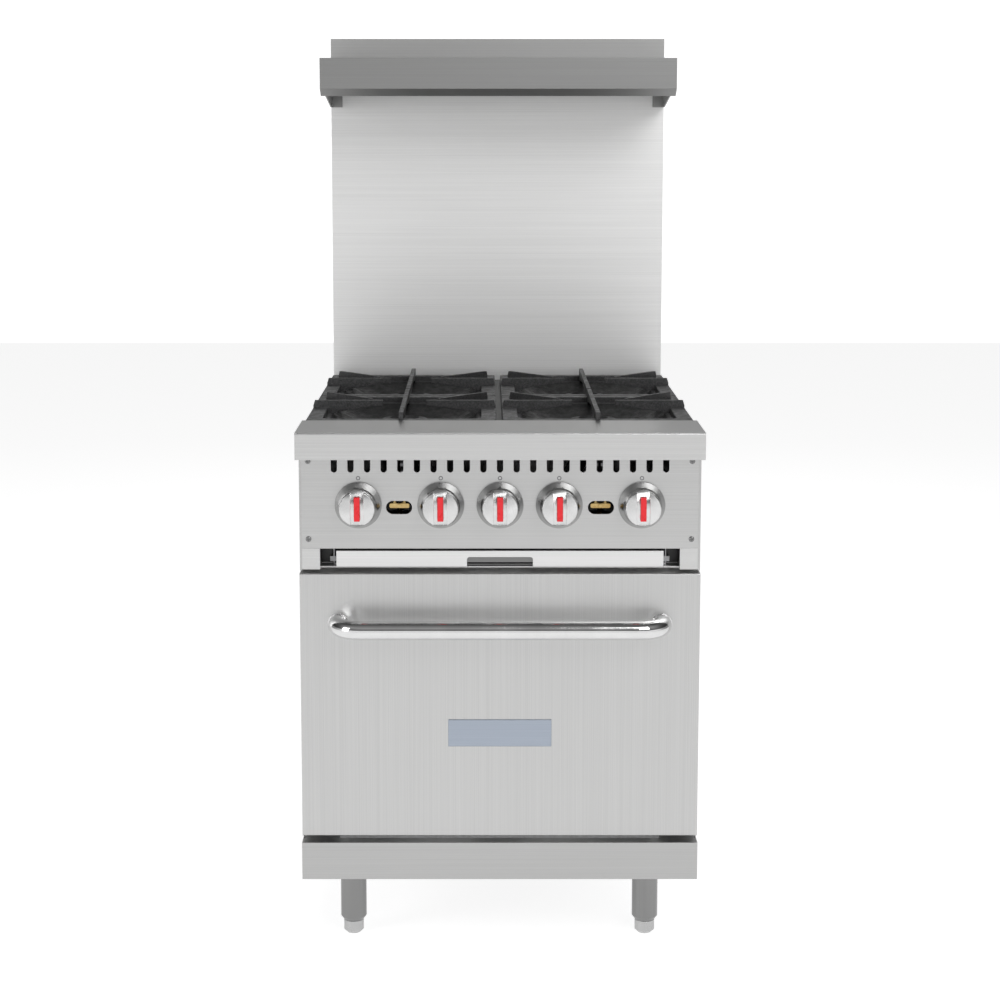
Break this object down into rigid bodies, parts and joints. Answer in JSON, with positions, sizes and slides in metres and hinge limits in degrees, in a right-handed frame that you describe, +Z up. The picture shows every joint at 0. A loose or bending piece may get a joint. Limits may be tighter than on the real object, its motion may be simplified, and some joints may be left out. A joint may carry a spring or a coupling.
{
  "type": "commercial gas range",
  "caption": "Free-standing gas range with open top burners under cast grates, a drop-down oven door, a crumb tray, turning knobs and a high shelf on a backguard.",
  "frame": {"origin": "on the floor, in the middle of the outer box", "axes": "+Z up, +X to the right of a person facing the range, and the front faces -Y"},
  "size_m": [0.61, 0.8952, 1.42],
  "materials": {
    "stainless": "satin brushed stainless steel",
    "dark_steel": "dark heat-stained steel",
    "galvanised": "galvanised sheet",
    "enamel": "dark porcelain enamel",
    "cast_iron": "matt black cast iron",
    "chrome": "polished chrome",
    "brass": "machined brass",
    "aluminium": "aluminium tube",
    "pipe": "black iron pipe",
    "red_plastic": "red moulded plastic",
    "wool": "mineral wool",
    "gasket": "woven glass-fibre seal",
    "plate": "blank anodised plate"
  },
  "bodies": {
    "chassis": {"base_frame": "galvanised", "kick_panel": "stainless", "side_panel_left": "stainless", "side_panel_right": "stainless", "rear_panel": "galvanised", "front_frame": "stainless", "cooktop_frame": "stainless", "front_rail": "stainless", "control_panel": "stainless", "panel_screws": "stainless", "tray_rails": "galvanised", "leg_tubes": "stainless", "oven_liner": "enamel", "oven_floor": "enamel", "oven_burner": "dark_steel", "rack_guides": "chrome", "oven_racks": "chrome", "oven_insulation": "wool", "flue_riser": "galvanised", "backguard": "stainless", "high_shelf": "stainless", "shelf_gussets": "stainless", "hinge_brackets": "galvanised", "manifold_pipe": "pipe", "gas_valves": "brass", "pilot_valves": "brass", "pilot_tubes": "aluminium", "burner_bodies": "cast_iron", "burner_heads": "cast_iron"},
    "oven_door": {"door_skin": "stainless", "door_liner": "enamel", "door_gasket": "gasket", "door_insulation": "wool", "door_handle": "chrome", "door_badge": "plate", "hinge_arms": "galvanised"},
    "tray": {"crumb_tray": "stainless"},
    "grate_body_front_left": {"grate_front_left": "cast_iron"},
    "grate_body_front_right": {"grate_front_right": "cast_iron"},
    "grate_body_rear_left": {"grate_rear_left": "cast_iron"},
    "grate_body_rear_right": {"grate_rear_right": "cast_iron"},
    "knob_body_1": {"knob_1": "chrome", "knob_1_insert": "red_plastic", "knob_1_stem": "brass"},
    "knob_body_2": {"knob_2": "chrome", "knob_2_insert": "red_plastic", "knob_2_stem": "brass"},
    "knob_body_3": {"knob_3": "chrome", "knob_3_insert": "red_plastic", "knob_3_stem": "brass"},
    "knob_body_4": {"knob_4": "chrome", "knob_4_insert": "red_plastic", "knob_4_stem": "brass"},
    "knob_body_5": {"knob_5": "chrome", "knob_5_insert": "red_plastic", "knob_5_stem": "brass"},
    "foot_body_front_left": {"foot_front_left": "stainless"},
    "foot_body_front_right": {"foot_front_right": "stainless"},
    "foot_body_rear_left": {"foot_rear_left": "stainless"},
    "foot_body_rear_right": {"foot_rear_right": "stainless"}
  },
  "joints": [
    {"name": "door_hinge", "type": "hinge", "parent": "chassis", "child": "oven_door", "pos_m": [0, -0.37535, 0.201], "axis": [1, 0, 0], "range_deg": [0, 90], "stiffness_Nm_per_rad": 3, "springref_deg": -68.75},
    {"name": "tray_slide", "type": "slide", "parent": "chassis", "child": "tray", "axis": [0, -1, 0], "range_m": [0, 0.45]},
    {"name": "grate_lift_front_left", "type": "slide", "parent": "chassis", "child": "grate_body_front_left", "axis": [0, 0, 1], "range_m": [0, 0.08]},
    {"name": "grate_lift_front_right", "type": "slide", "parent": "chassis", "child": "grate_body_front_right", "axis": [0, 0, 1], "range_m": [0, 0.08]},
    {"name": "grate_lift_rear_left", "type": "slide", "parent": "chassis", "child": "grate_body_rear_left", "axis": [0, 0, 1], "range_m": [0, 0.08]},
    {"name": "grate_lift_rear_right", "type": "slide", "parent": "chassis", "child": "grate_body_rear_right", "axis": [0, 0, 1], "range_m": [0, 0.08]},
    {"name": "knob_turn_1", "type": "hinge", "parent": "chassis", "child": "knob_body_1", "pos_m": [-0.212, -0.37635, 0.703], "axis": [0, -1, 0], "range_deg": [0, 90]},
    {"name": "knob_turn_2", "type": "hinge", "parent": "chassis", "child": "knob_body_2", "pos_m": [-0.0885, -0.37635, 0.703], "axis": [0, -1, 0], "range_deg": [0, 90]},
    {"name": "knob_turn_3", "type": "hinge", "parent": "chassis", "child": "knob_body_3", "pos_m": [0, -0.37635, 0.703], "axis": [0, -1, 0], "range_deg": [0, 270]},
    {"name": "knob_turn_4", "type": "hinge", "parent": "chassis", "child": "knob_body_4", "pos_m": [0.0885, -0.37635, 0.703], "axis": [0, -1, 0], "range_deg": [0, 90]},
    {"name": "knob_turn_5", "type": "hinge", "parent": "chassis", "child": "knob_body_5", "pos_m": [0.212, -0.37635, 0.703], "axis": [0, -1, 0], "range_deg": [0, 90]},
    {"name": "foot_level_front_left", "type": "slide", "parent": "chassis", "child": "foot_body_front_left", "axis": [0, 0, -1], "range_m": [0, 0.025]},
    {"name": "foot_level_front_right", "type": "slide", "parent": "chassis", "child": "foot_body_front_right", "axis": [0, 0, -1], "range_m": [0, 0.025]},
    {"name": "foot_level_rear_left", "type": "slide", "parent": "chassis", "child": "foot_body_rear_left", "axis": [0, 0, -1], "range_m": [0, 0.025]},
    {"name": "foot_level_rear_right", "type": "slide", "parent": "chassis", "child": "foot_body_rear_right", "axis": [0, 0, -1], "range_m": [0, 0.025]}
  ]
}
